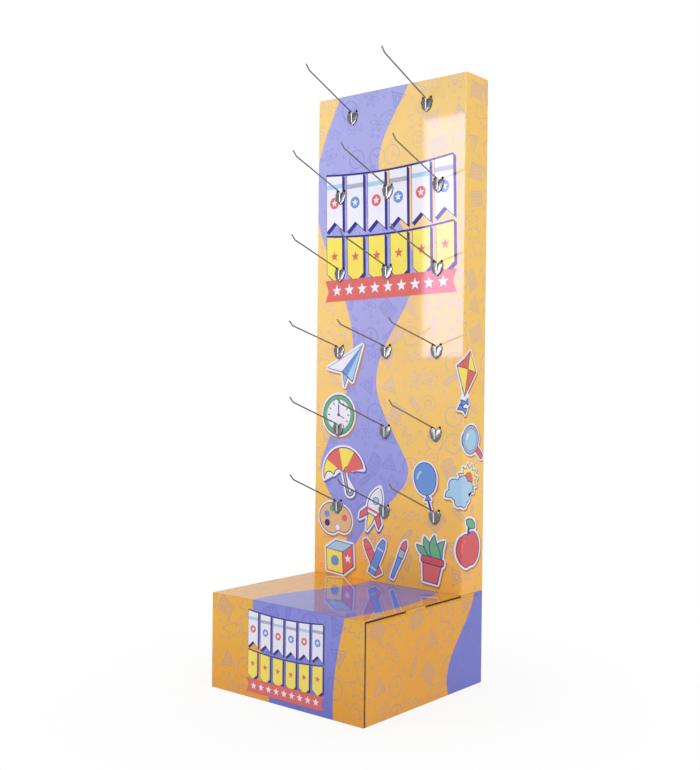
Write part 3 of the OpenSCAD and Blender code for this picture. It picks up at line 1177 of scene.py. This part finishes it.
def heartOutline():
    lobeX, lobeZ = heart["half"] - heart["lobe"], heart["top"] - heart["lobe"]
    toeZ, bellyZ = heart["toeRadius"] - heart["toe"], -heart["bellyDrop"]
    lean = math.asin((heart["belly"] - heart["toeRadius"]) / (bellyZ - toeZ))
    ends = math.degrees(math.asin((lobeZ - bellyZ) / heart["belly"]))
    small = heart["notchRadius"]
    toe, lobe, belly = [heart[part] - small for part in ("toeRadius", "lobe", "belly")]
    bodies = [circle(0, toeZ, toe), circle(lobeX, lobeZ, lobe), circle(-lobeX, lobeZ, lobe)]
    bodies.append(arc(0, bellyZ, belly, 180 - ends, 360 + ends, 48))
    for side in (-1, 1):
        out = Vector((side * math.cos(lean), -math.sin(lean)))
        bodies.append([tuple(Vector((0, bellyZ)) + out * belly), tuple(Vector((0, toeZ)) + out * toe)])
    return roundedBorder(bodies, small, Vector((0, 0)))


def heartPlate(name, outline):
    low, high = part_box(name)
    x0, z0 = (low.x + high.x) / 2, low.z + heart["toe"] * mm
    bm = bmesh.new()
    rise = bm.verts.layers.float.new("rise")
    loops = []
    for size, lift in heart["rings"]:
        ring = moved(outline, 0, heart["crown"] * (1 - size), 0, size)
        lean = heart["lean"] if lift else 0
        places = [(x0 + x * mm, columnY - (lift - lean * z) * mm, z0 + z * mm) for x, z in ring]
        loops.append([bm.verts.new(place) for place in places])
        for vert in loops[-1]:
            vert[rise] = lift * mm
    edges = [[bm.edges.new((loop[i - 1], loop[i])) for i in range(len(loop))] for loop in loops]
    for near, far in zip(edges, edges[1:]):
        bmesh.ops.bridge_loops(bm, edges=near + far)
    bm.faces.new(loops[0])
    bm.faces.new(loops[-1])
    for side in (-1, 1):
        middleX = side * (heart["tangNear"] + heart["tangWide"] / 2)
        for (nearY, lowZ), (farY, highZ) in heart["tangBoxes"]:
            middle = Vector((middleX, (nearY + farY) / 2, (lowZ + highZ) / 2)) * mm
            size = Matrix.Diagonal(Vector((heart["tangWide"], farY - nearY, highZ - lowZ, 1 / mm)) * mm)
            place = Matrix.Translation(middle + Vector((x0, columnY, z0)))
            bmesh.ops.create_cube(bm, size=1.0, matrix=place @ size)
    bmesh.ops.recalc_face_normals(bm, faces=bm.faces[:])
    piece = newObject(name + "Rolled", bm, plateFinish)
    piece.data.shade_smooth()
    piece.data.set_sharp_from_angle(angle=math.radians(heart["sharpAngle"]))
    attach(piece, "root")
    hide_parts(name)


heartEdge = heartOutline()
for plateName in plateNames:
    heartPlate(plateName, heartEdge)
print("heart plates rolled")


# studio: soft light all round, one tall softbox at the front left, and a pale floor; lamps in millimetres
studio = {
    "fill": 0.41,
    "brightSide": (-0.9, -0.5, 0.3),
    "darkSide": 0.45,
    "sideLow": -0.1,
    "sideHigh": 0.5,
    "floorSize": 6.0,
    "floorWhite": 0.88,
    "floorNear": 0.3,
    "floorFar": 0.75,
    "floorColour": (0.9, 0.9, 0.9, 1),
}
# only the softbox shows in the gloss and in the metal
lamps = {
    "softbox": {"middle": (-729, -1350, 1171), "size": (440, 898), "radiance": 8.8, "turn": 0, "tilt": 90},
    "key": {"middle": (-1100, -1700, 1800), "size": (700, 700), "radiance": 4.6, "turn": -33, "tilt": 62},
    "rightFill": {"middle": (2000, -500, 1300), "size": (900, 1300), "radiance": 5.6, "turn": 72, "tilt": 90},
    "leftFill": {"middle": (-2000, 300, 700), "size": (900, 1300), "radiance": 4.2, "turn": -90, "tilt": 90},
    "rearFill": {"middle": (300, 2100, 800), "size": (900, 1300), "radiance": 5.6, "turn": 180, "tilt": 90},
}


def addLamp(name, lamp):
    wide, tall = [side * mm for side in lamp["size"]]
    data = bpy.data.lights.new(name, "AREA")
    data.shape = "RECTANGLE"
    data.size, data.size_y = wide, tall
    data.energy = lamp["radiance"] * math.pi * wide * tall
    made = bpy.data.objects.new(name, data)
    made.visible_glossy = name == "softbox"
    turn = Matrix.Rotation(math.radians(lamp["turn"]), 4, "Z")
    tilt = Matrix.Rotation(math.radians(lamp["tilt"]), 4, "X")
    made.matrix_world = Matrix.Translation(Vector(lamp["middle"]) * mm) @ (turn @ tilt)
    scene.collection.objects.link(made)


def lightRays(tree):
    kinds = ("Is Camera Ray", "Is Glossy Ray", "Is Transmission Ray")
    return [addNode(tree, "LightPath", {}, {}, kind) for kind in kinds]


def addWorld():
    world = bpy.data.worlds.new("studioWorld")
    world.use_nodes = True
    tree = world.node_tree
    tree.nodes.clear()
    camera, glossy, clear = lightRays(tree)
    # metal sees a bright room on the softbox's side and a darker one on the other
    towards = addNode(tree, "TexCoord", {}, {}, "Object")
    side = addNode(tree, "VectorMath", {"operation": "DOT_PRODUCT"}, {0: towards, 1: studio["brightSide"]}, 1)
    room = smoothRange(tree, side, studio["sideLow"], studio["sideHigh"], studio["darkSide"], 1.0)
    fill = studio["fill"] * (1 - (camera | glossy | clear))
    strength = fill + (camera | clear) + glossy * room
    shade = addNode(tree, "Background", {}, {"Color": (1, 1, 1, 1), "Strength": strength})
    addNode(tree, "OutputWorld", {}, {"Surface": shade})
    scene.world = world


def addFloor():
    material, tree = newFinish("studioFloor")
    place = addNode(tree, "TexCoord", {}, {}, "Object")
    away = addNode(tree, "VectorMath", {"operation": "LENGTH"}, {0: place}, 1)
    fade = smoothRange(tree, away, studio["floorNear"], studio["floorFar"])
    camera, glossy, clear = lightRays(tree)
    white = (camera | glossy | clear) * (fade * (1 - studio["floorWhite"]) + studio["floorWhite"])
    matt = addNode(tree, "BsdfDiffuse", {}, {"Color": studio["floorColour"]})
    glow = addNode(tree, "Emission", {}, {"Color": (1, 1, 1, 1), "Strength": 1.0})
    surface(tree, addNode(tree, "MixShader", {}, {0: white, 1: matt, 2: glow}))
    bm = bmesh.new()
    bmesh.ops.create_grid(bm, x_segments=1, y_segments=1, size=studio["floorSize"])
    newObject("studioFloor", bm, material)


for lampName, lamp in lamps.items():
    addLamp(lampName, lamp)
addWorld()
addFloor()
print("studio lit")
